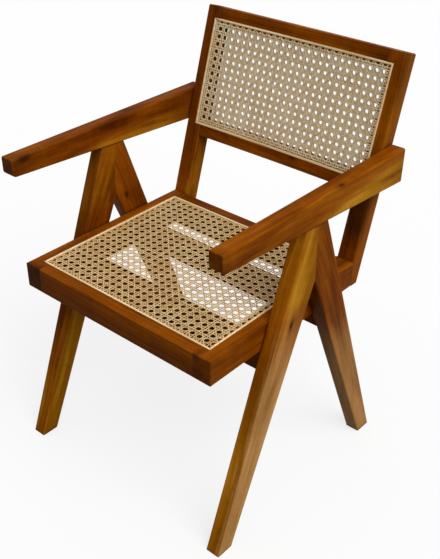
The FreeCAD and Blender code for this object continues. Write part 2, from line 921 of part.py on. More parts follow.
def back_cane(label, near, far, lip_near, lip_far):
    """A bowed cane panel, between its surfaces and with its lip between two more."""
    low = (back_groove_low + groove_width).value
    high = (back_groove_top - groove_width).value
    level = overrun.value
    drop = (post_depth + bow + overrun * 2).value
    net = net_prism(low, high, level, drop).common(bowed_slab(near.value, far.value))
    lip = lip_prism(low, high, level, drop).common(bowed_slab(lip_near.value, lip_far.value))
    place_in_back(cane_feature(label, net.fuse(lip).removeSplitter()))


def tenon_group(label, tenons):
    """Identical loose tenons, in one node as separate solids."""
    group = doc.addObject("Part::Compound", label)
    group.Label = label
    group.Links = [
        tenon.block("%s_%d" % (label, number)) for number, tenon in enumerate(tenons, start=1)
    ]
    doc.recompute()
    place_node(group)


def loose_tenons():
    signs = [sign for side, sign in SIDES]
    pairs = [(sign, leg) for sign in signs for leg in LEGS]
    tenon_group("seat_leg_tenons", [seat_leg_tenon(sign, leg) for sign, leg in pairs])
    tenon_group("arm_leg_tenons", [arm_leg_tenon(sign, leg) for sign, leg in pairs])
    tenon_group("leg_mitre_tenons", [mitre_tenon(sign) for sign in signs])
    tenon_group("arm_post_tenons", [arm_post_tenon(sign) for sign in signs])
    tenon_group("seat_post_tenons", [seat_post_tenon(sign) for sign in signs])


def build_chair():
    for side, sign in SIDES:
        seat_side_rail(side, sign)
        for leg in LEGS:
            side_leg(side, sign, leg)
        armrest(side, sign)
        back_post(side, sign)
    for name, front in SEAT_RAILS.items():
        seat_cross_rail(name, front)
    for name, front in CROSS_RAILS.items():
        under_cross_rail(name, front)
    for name, low in BACK_RAILS.items():
        back_rail(name, low)
    seat_cane()
    seat_bead()
    rise = cell("bead_rise")
    back_cane("back_cane_front", ZERO, cane_thickness, ZERO, cane_lip)
    back_bead("back_cane_front_bead", -rise, cane_lip)
    inside = post_depth - cane_thickness
    back_cane("back_cane_rear", inside, post_depth, post_depth - cane_lip, post_depth)
    back_bead("back_cane_rear_bead", post_depth - cane_lip, post_depth + rise)
    loose_tenons()


def check_all():
    doc.recompute()
    for item in doc.Objects:
        if "Invalid" in item.State or "Error" in item.State:
            raise ValueError("%s failed: %s" % (item.Label, item.State))
    for item in nodes:
        if item.Shape.isNull() or not item.Shape.isValid():
            raise ValueError("%s has no valid shape" % item.Label)


def write_parts():
    os.makedirs("parts", exist_ok=True)
    for item in nodes:
        item.Shape.exportStep("parts/%s.step" % item.Label)


build_chair()
check_all()
write_parts()
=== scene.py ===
import math
import random

import bpy
import numpy as np
from mathutils import Matrix, Vector


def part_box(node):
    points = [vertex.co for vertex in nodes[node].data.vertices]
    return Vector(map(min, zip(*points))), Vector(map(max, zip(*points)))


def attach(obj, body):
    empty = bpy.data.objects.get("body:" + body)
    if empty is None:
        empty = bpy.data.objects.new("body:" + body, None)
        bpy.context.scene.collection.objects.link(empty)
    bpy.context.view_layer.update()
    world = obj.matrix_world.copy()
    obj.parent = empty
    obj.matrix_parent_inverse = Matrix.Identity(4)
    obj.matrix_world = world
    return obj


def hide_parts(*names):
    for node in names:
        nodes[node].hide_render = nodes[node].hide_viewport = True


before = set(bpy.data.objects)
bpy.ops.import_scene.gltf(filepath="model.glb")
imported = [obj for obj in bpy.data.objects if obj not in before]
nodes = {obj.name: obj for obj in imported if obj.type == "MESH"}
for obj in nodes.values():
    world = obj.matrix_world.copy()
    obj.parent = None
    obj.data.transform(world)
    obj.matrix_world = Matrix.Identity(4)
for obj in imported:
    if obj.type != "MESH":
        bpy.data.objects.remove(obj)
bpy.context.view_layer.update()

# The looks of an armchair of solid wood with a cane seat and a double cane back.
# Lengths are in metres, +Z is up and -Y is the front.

ROOT = "root"
MM = 0.001

LEFT, RIGHT = Vector((-1, 0, 0)), Vector((1, 0, 0))
FRONT, REAR = Vector((0, -1, 0)), Vector((0, 1, 0))
DOWN, UP = Vector((0, 0, -1)), Vector((0, 0, 1))

# What holds the cane: sizes of the part, and places read from the frame

BACK_LEAN = math.radians(17.1)
BACK_BOW = 6 * MM
POST_DEPTH = 33 * MM
BEAD_WIDTH = 4.4 * MM
CANE_THICKNESS = 1.6 * MM
LIP_DEPTH = 4.5 * MM
UP_BACK = Vector((0, math.sin(BACK_LEAN), math.cos(BACK_LEAN)))
OUT_OF_BACK = Vector((0, -math.cos(BACK_LEAN), math.sin(BACK_LEAN)))
rail_low, rail_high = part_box("seat_side_rail_right")
SEAT_ORIGIN = Vector((0, rail_low.y, rail_high.z))
BACK_ORIGIN = Vector((0, rail_high.y, rail_high.z))


def extent(node, direction):
    """The lowest and highest reach of a node along a direction."""
    reach = [vertex.co.dot(direction) for vertex in nodes[node].data.vertices]
    return min(reach), max(reach)


class HoleGrid:
    """A weave's holes: their spacing and the place of one of them in u and v, in millimetres."""

    def __init__(self, across, up, hole_u, hole_v):
        self.across = across * MM
        self.up = up * MM
        self.hole_u = hole_u * MM
        self.hole_v = hole_v * MM


class Panel:
    """A cane panel: u runs across the chair, v along the panel, w out of its visible face.

    The groove's outer edges are at u = -half_width and half_width, and at v = low and high.
    The bow is how far the middle lies behind the sides. The depth is how far the whole panel
    lies behind the front of the back, and its facing is -1 where it is seen from behind.
    """

    def __init__(self, name, node, grid, origin, along, out, bow=0.0, depth=0.0, facing=1):
        self.name = name
        self.node = node
        self.bead = node + "_bead"
        self.grid = grid
        self.origin = origin
        self.along = along
        self.out = out
        self.bow = bow
        self.depth = depth
        self.facing = facing
        shift = origin.dot(along)
        self.low, self.high = [reach - shift for reach in extent(self.bead, along)]
        self.half_width = extent(self.bead, RIGHT)[1]
        self.radius = (self.half_width ** 2 + bow ** 2) / (2 * bow) if bow else 0.0

    def place(self, u, v, w):
        """Points of the chair for arrays of panel coordinates."""
        behind = self.depth - w * self.facing
        outward = -behind
        if self.radius:
            centre = self.radius - self.bow
            outward = centre - np.sqrt((self.radius + behind) ** 2 - u ** 2)
        points = np.array(self.origin) + np.multiply.outer(v, np.array(self.along))
        points = points + np.multiply.outer(outward, np.array(self.out))
        points[..., 0] += u
        return points


# The rear layer's holes are a little wider apart than the front's, so that what shows through
# both layers stays even across the bow
PANELS = [
    Panel("seat", "seat_cane", HoleGrid(across=16.21, up=15.51, hole_u=9.4, hole_v=196.4),
          SEAT_ORIGIN, REAR, UP),
    Panel("back_front", "back_cane_front",
          HoleGrid(across=15.42, up=15.0, hole_u=8.4, hole_v=260.0),
          BACK_ORIGIN, UP_BACK, OUT_OF_BACK, bow=BACK_BOW),
    Panel("back_rear", "back_cane_rear",
          HoleGrid(across=15.66, up=15.32, hole_u=-9.6, hole_v=257.13),
          BACK_ORIGIN, UP_BACK, OUT_OF_BACK, bow=BACK_BOW, depth=POST_DEPTH, facing=-1),
]


class Builder:
    """Collects tubes of quads into one mesh."""

    def __init__(self):
        self.vertices = []
        self.faces = []

    def add_tube(self, rings):
        """A closed tube through rings of points, an array of rings, points and coordinates."""
        count, sides = rings.shape[:2]
        first = len(self.vertices)
        self.vertices.extend(map(tuple, rings.reshape(-1, 3)))
        for ring in range(count - 1):
            start = first + ring * sides
            for side in range(sides):
                beside = (side + 1) % sides
                self.faces.append((start + side, start + beside,
                                   start + sides + beside, start + sides + side))
        last = first + (count - 1) * sides
        self.faces.append(tuple(first + side for side in reversed(range(sides))))
        self.faces.append(tuple(last + side for side in range(sides)))

    def make(self, name, material, slot, *replaced):
        """Turn the tubes into one piece of the chair, in place of the CAD nodes named last."""
        mesh = bpy.data.meshes.new(name)
        mesh.from_pydata(self.vertices, [], self.faces)
        mesh.polygons.foreach_set("use_smooth", [True] * len(mesh.polygons))
        mesh.materials.append(material)
        mesh.update()
        piece = bpy.data.objects.new(name, mesh)
        bpy.context.scene.collection.objects.link(piece)
        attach(piece, ROOT)
        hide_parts(*replaced)


# The six-way weave: pairs of strands up and across, and single strands on both diagonals

PAIR_OFFSET = 2.5 * MM
STRAND_WIDTH = 2.15 * MM
STRAND_THICKNESS = 0.5 * MM
PAIR_WAVE = 0.34 * MM
DIAGONAL_WAVE = 0.42 * MM
FOLD_RADIUS = 1.2 * MM
RINGS_PER_PITCH = 6
RINGS_PER_DIAGONAL_PITCH = 8
FOLD_STEPS = 4
# The limits of what differs from strand to strand, the drifts and sways in millimetres
WIDTH_SHARES = (0.94, 1.05)
DRIFTS = (-0.12, 0.12)
SWAYS = (0.05, 0.16)
SWAY_LENGTH = 110 * MM
# A strand's section, in shares of its width and thickness
SECTION = np.array([(-0.5, -0.5), (0.5, -0.5), (0.36, 0.5), (-0.36, 0.5)])


class Weave:
    """The strands of one panel, laid in a flat sheet whose rim is then folded down.

    The sheet turns down at u = -edge_u and edge_u, and at v = edge_low and edge_high. The arc
    is how much of the sheet the bend takes, and past is the whole of it beyond these lines.
    """

    def __init__(self, panel, seed):
        self.panel = panel
        self.grid = panel.grid
        self.random = random.Random(seed)
        inset = BEAD_WIDTH + CANE_THICKNESS / 2 + FOLD_RADIUS
        self.edge_u = panel.half_width - inset
        self.edge_low = panel.low + inset
        self.edge_high = panel.high - inset
        self.pair_u = self.grid.hole_u + self.grid.across / 2
        self.pair_v = self.grid.hole_v + self.grid.up / 2
        self.arc = FOLD_RADIUS * math.pi / 2
        self.past = self.arc + LIP_DEPTH - FOLD_RADIUS - CANE_THICKNESS / 2

    def fold(self, past, w):
        """How far out and up a point of the sheet goes, past the line where it turns down."""
        angle = np.clip(past / FOLD_RADIUS, 0, math.pi / 2)
        out = (FOLD_RADIUS + w) * np.sin(angle) + np.minimum(past, 0)
        up = (FOLD_RADIUS + w) * np.cos(angle) - FOLD_RADIUS - np.maximum(past - self.arc, 0)
        return out, up

    def shape(self, u, v, w):
        """Chair points for arrays of sheet coordinates, with the rim folded down."""
        level = -CANE_THICKNESS / 2
        side = np.sign(u)
        past_u = np.abs(u) - self.edge_u
        past_low = self.edge_low - v
        past_high = v - self.edge_high
        out_u, up_u = self.fold(past_u, w)
        out_low, up_low = self.fold(past_low, w)
        out_high, up_high = self.fold(past_high, w)
        new_u = np.where(past_u > 0, side * (self.edge_u + out_u), u)
        new_v = np.where(past_low > 0, self.edge_low - out_low, v)
        new_v = np.where(past_high > 0, self.edge_high + out_high, new_v)
        new_w = np.where(past_u > 0, up_u, w)
        new_w = np.where(past_low > 0, up_low, new_w)
        new_w = np.where(past_high > 0, up_high, new_w)
        return self.panel.place(new_u, new_v, new_w + level)

    def turns(self, u, v):
        """Sheet places as angles of the weave, whole turns where two strand pairs cross."""
        across = (u - self.pair_u) / self.grid.across
        up = (v - self.pair_v) / self.grid.up
        return 2 * math.pi * across, 2 * math.pi * up

    def stations(self, length, step, slant):
        """Where a strand's rings lie along it, with those of its folded ends on either side."""
        count = max(round(length / step), 1)
        margin = length / count / 4
        inner = [length * index / count for index in range(1, count)]
        beyond = [self.past / slant * index / FOLD_STEPS for index in range(FOLD_STEPS + 1)]
        before = [-at for at in reversed(beyond)]
        after = [length + at for at in beyond]
        return before + [margin] + inner + [length - margin] + after

    def strand(self, builder, start, end, step, height):
        """One strand between two places on the lines where the sheet turns down.

        Its height gives its rise and fall from the angles of the weave.
        """
        start, end = np.array(start), np.array(end)
        length = np.linalg.norm(end - start)
        run = (end - start) / length
        along = np.array(self.stations(length, step, max(abs(run))))[:, None]
        width = STRAND_WIDTH * self.random.uniform(*WIDTH_SHARES)
        drift = self.random.uniform(*DRIFTS) * MM
        sway = self.random.uniform(*SWAYS) * MM
        turn = self.random.uniform(0, 2 * math.pi)
        aside = SECTION[:, 0] * width + drift
        aside = aside + sway * np.sin(along * 2 * math.pi / SWAY_LENGTH + turn)
        line_u = start[0] + along * run[0]
        line_v = start[1] + along * run[1]
        w = height(*self.turns(line_u, line_v)) + SECTION[:, 1] * STRAND_THICKNESS
        builder.add_tube(self.shape(line_u - aside * run[1], line_v + aside * run[0], w))

    def pairs(self, low, high, spacing, place):
        """The places of the paired strands between two limits, with the side that each lies on."""
        first = math.floor((low - place) / spacing)
        last = math.ceil((high - place) / spacing)
        for index in range(first, last + 1):
            for side in (-1, 1):
                at = place + index * spacing + side * PAIR_OFFSET
                if low + STRAND_WIDTH / 2 < at < high - STRAND_WIDTH / 2:
                    yield at, side

    def upright(self, builder):
        """The strands that run along v."""
        step = self.grid.up / RINGS_PER_PITCH
        for at, side in self.pairs(-self.edge_u, self.edge_u, self.grid.across, self.pair_u):
            def height(across, up, side=side):
                return side * PAIR_WAVE * np.sin(up)
            self.strand(builder, (at, self.edge_low), (at, self.edge_high), step, height)

    def crosswise(self, builder):
        """The strands that run along u."""
        step = self.grid.across / RINGS_PER_PITCH
        for at, side in self.pairs(self.edge_low, self.edge_high, self.grid.up, self.pair_v):
            def height(across, up, side=side):
                return -side * PAIR_WAVE * np.sin(across)
            self.strand(builder, (-self.edge_u, at), (self.edge_u, at), step, height)

    def diagonal(self, builder, sign):
        """The strands on one diagonal: v rises with u for a sign of 1 and falls for -1."""
        def height(across, up):
            return sign * DIAGONAL_WAVE * np.cos(across)
        step = math.hypot(self.grid.across, self.grid.up) / RINGS_PER_DIAGONAL_PITCH
        slope = sign * self.grid.up / self.grid.across
        rise = self.edge_high - self.edge_low
        count = int((rise + 2 * self.edge_u) / self.grid.up) + 2
        for index in range(-count, count + 1):
            offset = self.pair_v - self.pair_u * slope + (index + 0.5) * self.grid.up
            ends = sorted((limit - offset) / slope for limit in (self.edge_low, self.edge_high))
            low = max(ends[0], -self.edge_u)
            high = min(ends[1], self.edge_u)
            if high - low > self.grid.across / 2:
                start = (low, offset + low * slope)
                self.strand(builder, start, (high, offset + high * slope), step, height)


# The reed beads, wedged in the grooves over the cane's edge

BEAD_RISE = 0.8 * MM
BEAD_DEPTH = 5.0 * MM
BEAD_STEPS = 40
MITRE_GAP = 0.04 * MM
# How much the crown rises and falls along the bead, and how fast, in radians to the metre
WOBBLE = 0.05 * MM
WOBBLE_PACE = 47
# The bead's rounded top, in shares of its width and rise
BEAD_CROWN = [
    (0.0, 0.1), (0.1, 0.55), (0.28, 0.88), (0.5, 1.0), (0.72, 0.88), (0.9, 0.55), (1.0, 0.1),
]


def bead_stick(builder, panel, corner, end, inward):
    """One side of a bead, mitred at both ends, from corner to end along the groove's outer edge."""
    corner, end, inward = np.array(corner), np.array(end), np.array(inward)
    length = np.linalg.norm(end - corner)
    run = (end - corner) / length
    section = [(0.0, -BEAD_DEPTH)]
    section += [(across * BEAD_WIDTH, rise * BEAD_RISE) for across, rise in BEAD_CROWN]
    section += [(BEAD_WIDTH, -BEAD_DEPTH)]
    across, rise = np.array(section).T
    share = np.linspace(0, 1, BEAD_STEPS + 1)[:, None]
    along = across + MITRE_GAP + (length - 2 * (across + MITRE_GAP)) * share
    lift = rise + WOBBLE * np.sin(share * length * WOBBLE_PACE) * (rise > 0)
    u = corner[0] + along * run[0] + across * inward[0]
    v = corner[1] + along * run[1] + across * inward[1]
    builder.add_tube(panel.place(u, v, lift))


def reed_bead(panel, material):
    """The four sides of a panel's bead, as one piece."""
    builder = Builder()
    side = panel.half_width
    corners = [(-side, panel.low), (side, panel.low), (side, panel.high), (-side, panel.high)]
    inwards = [(0, 1), (-1, 0), (0, -1), (1, 0)]
    for corner, end, inward in zip(corners, corners[1:] + corners[:1], inwards):
        bead_stick(builder, panel, corner, end, inward)
    builder.make(panel.name + "_reed_bead", material, "reed_spline", panel.bead)


# Materials

SIDE_RAYS = 6
CORNER_SHARE = 0.8
BUMP_STRENGTH = 0.25


def tone(red, green, blue):
    """A colour given by its screen values, in the renderer's linear values."""
    linear = []
    for value in (red, green, blue):
        share = value / 255
        linear.append(share / 12.92 if share <= 0.04045 else ((share + 0.055) / 1.055) ** 2.4)
    return (*linear, 1.0)


def grey(value):
    """A grey given by its linear value."""
    return (value, value, value, 1.0)


class Pattern:
    """A noise: how fine it is across and along the grain, to the metre, and how detailed."""

    def __init__(self, across, along, detail):
        self.scale = (across, across, along)
        self.detail = detail


class Graph:
    """A tree of shader nodes. Most calls add what they name and give its output."""

    def __init__(self, tree):
        self.tree = tree
        self.tree.nodes.clear()

    def add(self, kind, **settings):
        node = self.tree.nodes.new(kind)
        for key, value in settings.items():
            setattr(node, key, value)
        return node

    def feed(self, socket, value):
        """Link a socket to an output, or set it to a plain value."""
        if isinstance(value, bpy.types.NodeSocket):
            self.tree.links.new(value, socket)
        else:
            socket.default_value = value

    def feed_all(self, node, values):
        for socket, value in zip(node.inputs, values):
            self.feed(socket, value)

    def math(self, operation, *values):
        node = self.add("ShaderNodeMath", operation=operation)
        self.feed_all(node, values)
        return node.outputs[0]

    def vector(self, operation, *values):
        node = self.add("ShaderNodeVectorMath", operation=operation)
        self.feed_all(node, values)
        return node.outputs["Value" if operation in ("LENGTH", "DOT_PRODUCT") else "Vector"]

    def spread(self, value, low, high, start=0.0, end=1.0, kind="LINEAR"):
        """A value's range between low and high, spread from start to end."""
        node = self.add("ShaderNodeMapRange", interpolation_type=kind)
        self.feed_all(node, (value, low, high, start, end))
        return node.outputs["Result"]

    def mix(self, factor, first, second, blend="MIX"):
        node = self.add("ShaderNodeMix", data_type="RGBA", blend_type=blend)
        self.feed(node.inputs["Factor"], factor)
        self.feed(node.inputs["A"], first)
        self.feed(node.inputs["B"], second)
        return node.outputs["Result"]

    def coordinates(self, kind="Object"):
        return self.add("ShaderNodeTexCoord").outputs[kind]

    def seen_plainly(self, share):
        """The share for the rays of the camera, mirrors and glass, and 0 for all other light."""
        path = self.add("ShaderNodeLightPath")
        seen = path.outputs["Is Camera Ray"]
        for other in ("Is Glossy Ray", "Is Transmission Ray"):
            seen = self.math("MAXIMUM", seen, path.outputs[other])
        return self.math("MULTIPLY", seen, share)


class MaterialGraph(Graph):
    """A material's nodes, which all lead to one shader."""

    def __init__(self, name):
        self.material = bpy.data.materials.new(name)
        self.material.use_nodes = True
        super().__init__(self.material.node_tree)
        self.shader = self.add("ShaderNodeBsdfPrincipled")
        output = self.add("ShaderNodeOutputMaterial")
        self.feed(output.inputs["Surface"], self.shader.outputs["BSDF"])

    def local(self, origin, direction, turn=0.0):
        """The piece's coordinates from an origin, with their z along a direction."""
        upright = Vector(direction).to_track_quat("Z", "X").to_matrix()
        node = self.add("ShaderNodeMapping", vector_type="TEXTURE")
        self.feed(node.inputs["Vector"], self.coordinates())
        self.feed(node.inputs["Location"], origin)
        self.feed(node.inputs["Rotation"], (upright @ Matrix.Rotation(turn, 3, "Z")).to_euler())
        return node.outputs["Vector"]

    def noise(self, place, pattern, output="Fac"):
        node = self.add("ShaderNodeTexNoise")
        self.feed(node.inputs["Vector"], self.vector("MULTIPLY", place, pattern.scale))
        self.feed(node.inputs["Scale"], 1.0)
        self.feed(node.inputs["Detail"], pattern.detail)
        return node.outputs[output]

    def ramp(self, value, stops):
        node = self.add("ShaderNodeValToRGB")
        elements = node.color_ramp.elements
        while len(elements) < len(stops):
            elements.new(0.5)
        for element, (position, colour) in zip(elements, stops):
            element.position = position
            element.color = colour
        self.feed(node.inputs["Fac"], value)
        return node.outputs["Color"]

    def total(self, start, *terms):
        """A start plus each term's difference from its centre, times its weight."""
        for part, centre, weight in terms:
            share = self.math("MULTIPLY", self.math("SUBTRACT", part, centre), weight)
            start = self.math("ADD", start, share)
        return start

    def alignment(self, vector, direction):
        """How much of a vector lies along a direction, whichever way it points."""
        return self.math("ABSOLUTE", self.vector("DOT_PRODUCT", vector, direction))

    def shade_and_stain_in_corners(self, colour, reach, tint):
        """A colour darkened in corners and joints, where other faces are near: painted shade, and
        on wood some finish built up there too.
        """
        node = self.add("ShaderNodeAmbientOcclusion", samples=SIDE_RAYS)
        self.feed(node.inputs["Distance"], reach)
        corner = self.math("SUBTRACT", 1.0, node.outputs["AO"])
        return self.mix(self.math("MULTIPLY", corner, CORNER_SHARE), colour, tint, "MULTIPLY")

    def turning(self, reach, normal):
        """How the piece's faces turn beside its edges, as a vector."""
        node = self.add("ShaderNodeBevel", samples=SIDE_RAYS)
        self.feed(node.inputs["Radius"], reach)
        return self.vector("SUBTRACT", node.outputs["Normal"], normal)

    def bump(self, height, distance):
        node = self.add("ShaderNodeBump")
        self.feed(node.inputs["Strength"], BUMP_STRENGTH)
        self.feed(node.inputs["Distance"], distance)
        self.feed(node.inputs["Height"], height)
        self.feed(self.shader.inputs["Normal"], node.outputs["Normal"])

    def finish(self, colour, roughness, specular):
        """The finished material, with its shader's colour, roughness and gloss."""
        self.feed(self.shader.inputs["Base Color"], colour)
        self.feed(self.shader.inputs["Roughness"], roughness)
        self.feed(self.shader.inputs["Specular IOR Level"], specular)
        return self.material


# Wood

# Painted shade in corners and joints, with some finish built up there, and how far it reaches
CORNER_REACH = 8 * MM
CORNER_SHADE_AND_STAIN = tone(120, 74, 36)
END_GRAIN_RANGE = (0.75, 0.97)
END_GRAIN_SHARE = 0.35
END_GRAIN_STAIN = tone(78, 42, 16)
EDGE_REACH = 3 * MM
SEAM_RANGE = (0.15, 0.45)
SEAM_SHARE = 0.7
SEAM_STAIN = tone(60, 30, 10)
# Pale edges, partly wear and partly a painted highlight along the arrises
WEAR_AND_HIGHLIGHT_RANGE = (0.05, 0.7)
WEAR_AND_HIGHLIGHT_CLOUD_RANGE = (0.3, 0.6)
WEAR_AND_HIGHLIGHT_SHARE = 0.4
WEAR_AND_HIGHLIGHT_TONE = tone(198, 134, 58)
KNOT_TONE = tone(60, 25, 5)
KNOT_HALO_SHARE = 0.35
# A knot's distances are in radii, and this share of what lies along the grain doesn't count
KNOT_STRETCH = 0.55
KNOT_RAGGEDNESS = 1.2
KNOT_CORE_RANGE = (0.3, 1.5)
KNOT_CORE_SHARE = 0.9
KNOT_HALO_RANGE = (0.8, 3.6)
ZONE_RAGGEDNESS = 30 * MM
WOOD_SPECULAR = 0.012
WOOD_BUMP = 0.25 * MM
FIBRE_HEIGHT = 0.6

WANDER_REACH = 30 * MM
WANDER = Pattern(6, 2.2, 2.0)
CLOUD = Pattern(26, 4.5, 3.0)
MOTTLE = Pattern(14, 75, 2.0)
STREAK = Pattern(120, 5, 3.0)
FIBRE = Pattern(1100, 26, 2.0)
PORE = Pattern(1700, 60, 1.0)
PORE_RANGE = (0.6, 0.7)
RINGS_PER_METRE = 210
RING_WAVER = Pattern(35, 1.5, 3.0)
RING_WAVER_SIZE = 3.0
RINGS_ROUND_KNOT = 4.0
RING = [(0.0, grey(0.1)), (0.55, grey(0.35)), (0.92, grey(1.0)), (1.0, grey(0.1))]

# What turns and shifts each board's figure, so that no two boards are alike
BOARD_TURN = 9
BOARD_SHIFTS = (31, 17, 13)

HEARTWOOD = [
    (0.0, tone(42, 15, 1)),
    (0.22, tone(82, 34, 1)),
    (0.45, tone(124, 60, 2)),
    (0.65, tone(150, 80, 4)),
    (0.85, tone(172, 102, 14)),
    (1.0, tone(192, 126, 32)),
]
SAPWOOD = [(0.15, tone(110, 60, 2)), (0.5, tone(166, 107, 8)), (0.85, tone(206, 148, 40))]
# Pale tones: for bleached wood, and for painted light and a painted reflection of the floor
BLEACHED_AND_LIT = [(0.15, tone(148, 102, 50)), (0.5, tone(197, 147, 86)), (0.85, tone(220, 176, 118))]
# Dark tones: for stains, and for painted shade and painted shadow
SHADE_AND_STAIN = [(0.15, tone(40, 16, 1)), (0.5, tone(74, 36, 4)), (0.85, tone(112, 60, 12))]


class Knot:
    """The end of a branch: its place, the way it points and its radius."""

    def __init__(self, place, branch, radius):
        self.place = Vector(place)
        self.branch = Vector(branch).normalized()
        self.radius = radius


class Zone:
    """A part of a board with tones of its own, mixed in at a share.

    Each limit is a direction and two reaches along it: the zone begins at the first and is full
    from the second on.
    """

    def __init__(self, tones, share, *limits):
        self.tones = tones
        self.share = share
        self.limits = limits


class Board:
    """What sets one piece of wood apart: its shade, its knots and zones, and the place of its pith.

    The figure is how strong its clouds are. A board with a free end meets no other piece there,
    so the edges of its end are pale, partly worn and partly a painted highlight, and not dark
    with finish.
    """

    def __init__(self, shade, pith, knots=(), zones=(), free_end=False, figure=1.0):
        self.shade = shade
        self.pith = pith
        self.knots = knots
        self.zones = zones
        self.free_end = free_end
        self.figure = figure


def long_axis(node):
    """The direction in which a node's points spread most."""
    points = np.array([vertex.co for vertex in nodes[node].data.vertices])
    axis = np.linalg.svd(points - points.mean(0), full_matrices=False)[2][0]
    return Vector(axis * (1 if axis.sum() > 0 else -1))


def knot_masks(graph, knot, grain, ragged):
    """A knot's core and the wider halo round it, both drawn out along the grain."""
    away = graph.vector("SUBTRACT", graph.coordinates(), knot.place)
    along = graph.vector("PROJECT", away, grain)
    away = graph.vector("SUBTRACT", away, graph.vector("MULTIPLY", along, [KNOT_STRETCH] * 3))
    aside = graph.vector("LENGTH", graph.vector("CROSS_PRODUCT", away, knot.branch))
    uneven = graph.math("MULTIPLY_ADD", ragged, KNOT_RAGGEDNESS, -KNOT_RAGGEDNESS / 2)
    radii = graph.math("ADD", graph.math("DIVIDE", aside, knot.radius), uneven)
    core = graph.spread(radii, *KNOT_CORE_RANGE, KNOT_CORE_SHARE, 0.0, "SMOOTHSTEP")
    halo = graph.spread(radii, *KNOT_HALO_RANGE, 1.0, 0.0, "SMOOTHSTEP")
    return core, halo


def zone_factor(graph, zone, ragged):
    """How far a place lies in a zone, whose border wanders with the streaks."""
    place = graph.coordinates()
    uneven = graph.math("MULTIPLY_ADD", ragged, ZONE_RAGGEDNESS, -ZONE_RAGGEDNESS / 2)
    factor = zone.share
    for direction, start, end in zone.limits:
        reach = graph.math("ADD", graph.vector("DOT_PRODUCT", place, direction), uneven)
        factor = graph.math("MULTIPLY", factor, graph.spread(reach, start, end, kind="SMOOTHSTEP"))
    return factor


def growth_ring(graph, from_pith, waver, halos):
    """How light the growth rings are: each lightens outwards, and they bend round knots."""
    rings = graph.math("MULTIPLY", graph.vector("LENGTH", from_pith), RINGS_PER_METRE)
    rings = graph.math("ADD", rings, graph.math("MULTIPLY", waver, RING_WAVER_SIZE))
    for halo in halos:
        rings = graph.math("MULTIPLY_ADD", halo, RINGS_ROUND_KNOT, rings)
    return graph.ramp(graph.math("FRACT", rings), RING)


def aged_shaded_and_lit(graph, colour, board, grain, cloud):
    """The colour with dark end grain and seams, painted shade and some built-up finish in corners,
    and pale edges that are partly wear and partly a painted highlight; and how pale the edges are.
    """
    normal = graph.add("ShaderNodeNewGeometry").outputs["Normal"]
    end_grain = graph.spread(graph.alignment(normal, grain), *END_GRAIN_RANGE)
    end_grain = graph.math("MULTIPLY", end_grain, END_GRAIN_SHARE)
    colour = graph.mix(end_grain, colour, END_GRAIN_STAIN, "MULTIPLY")
    # Painted shade, with some built-up finish, in corners and joints
    colour = graph.shade_and_stain_in_corners(colour, CORNER_REACH, CORNER_SHADE_AND_STAIN)
    turning = graph.turning(EDGE_REACH, normal)
    seam_share = 0.0 if board.free_end else SEAM_SHARE
    seam = graph.spread(graph.alignment(turning, grain), *SEAM_RANGE, 0.0, seam_share)
    # Pale edges: partly wear, partly a painted highlight along the arrises
    clouded = graph.spread(cloud, *WEAR_AND_HIGHLIGHT_CLOUD_RANGE)
    wear_and_highlight = graph.math("MULTIPLY", graph.vector("LENGTH", turning), clouded)
    wear_and_highlight = graph.spread(wear_and_highlight, *WEAR_AND_HIGHLIGHT_RANGE, 0.0, WEAR_AND_HIGHLIGHT_SHARE)
    wear_and_highlight = graph.math("MULTIPLY", wear_and_highlight, graph.math("SUBTRACT", 1.0, seam))
    colour = graph.mix(wear_and_highlight, colour, WEAR_AND_HIGHLIGHT_TONE)
    return graph.mix(seam, colour, SEAM_STAIN, "MULTIPLY"), wear_and_highlight


def wood(node, board):
    """Oiled hardwood with growth rings, clouds, streaks, fibres and pores along its length."""
    graph = MaterialGraph("wood_" + node)
    grain = long_axis(node)
    low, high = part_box(node)
    place = graph.local((low + high) / 2, grain, board.pith[0] * BOARD_TURN)
    shift = [value * size for value, size in zip((*board.pith, board.shade), BOARD_SHIFTS)]
    shifted = graph.vector("ADD", place, shift)
    wander = graph.vector("SUBTRACT", graph.noise(shifted, WANDER, "Color"), (0.5, 0.5, 0.5))
    wander = graph.vector("MULTIPLY", wander, (WANDER_REACH, WANDER_REACH, 0))
    bent = graph.vector("ADD", shifted, wander)
    cloud, mottle, streak, fibre, waver = [
        graph.noise(bent, pattern) for pattern in (CLOUD, MOTTLE, STREAK, FIBRE, RING_WAVER)
    ]
    pores = graph.spread(graph.noise(bent, PORE), *PORE_RANGE)
    knots = [knot_masks(graph, knot, grain, streak) for knot in board.knots]
    from_pith = graph.vector("ADD", place, (*board.pith, 0))
    from_pith = graph.vector("ADD", graph.vector("MULTIPLY", from_pith, (1, 1, 0)), wander)
    ring = growth_ring(graph, from_pith, waver, [halo for core, halo in knots])

    # Each term has its middle and its weight in the shade
    value = graph.total(board.shade, (cloud, 0.5, board.figure), (mottle, 0.5, 0.12),
                        (streak, 0.5, 0.35), (ring, 0.45, 0.12), (fibre, 0.5, 0.2),
                        (pores, 0.0, -0.12))
    colour = graph.ramp(value, HEARTWOOD)
    for zone in board.zones:
        tones = graph.ramp(graph.math("SUBTRACT", value, board.shade - 0.5), zone.tones)
        colour = graph.mix(zone_factor(graph, zone, streak), colour, tones)
    for core, halo in knots:
        colour = graph.mix(core, colour, KNOT_TONE)
        colour = graph.mix(graph.math("MULTIPLY", halo, KNOT_HALO_SHARE), colour, KNOT_TONE)
    colour, wear_and_highlight = aged_shaded_and_lit(graph, colour, board, grain, cloud)

    roughness = graph.total(0.38, (streak, 0.5, 0.25), (pores, 0.0, 0.2), (wear_and_highlight, 0.0, 0.2))
    fibre_height = graph.math("MULTIPLY", fibre, FIBRE_HEIGHT)
    graph.bump(graph.math("SUBTRACT", fibre_height, pores), WOOD_BUMP)
    return graph.finish(colour, roughness, WOOD_SPECULAR)
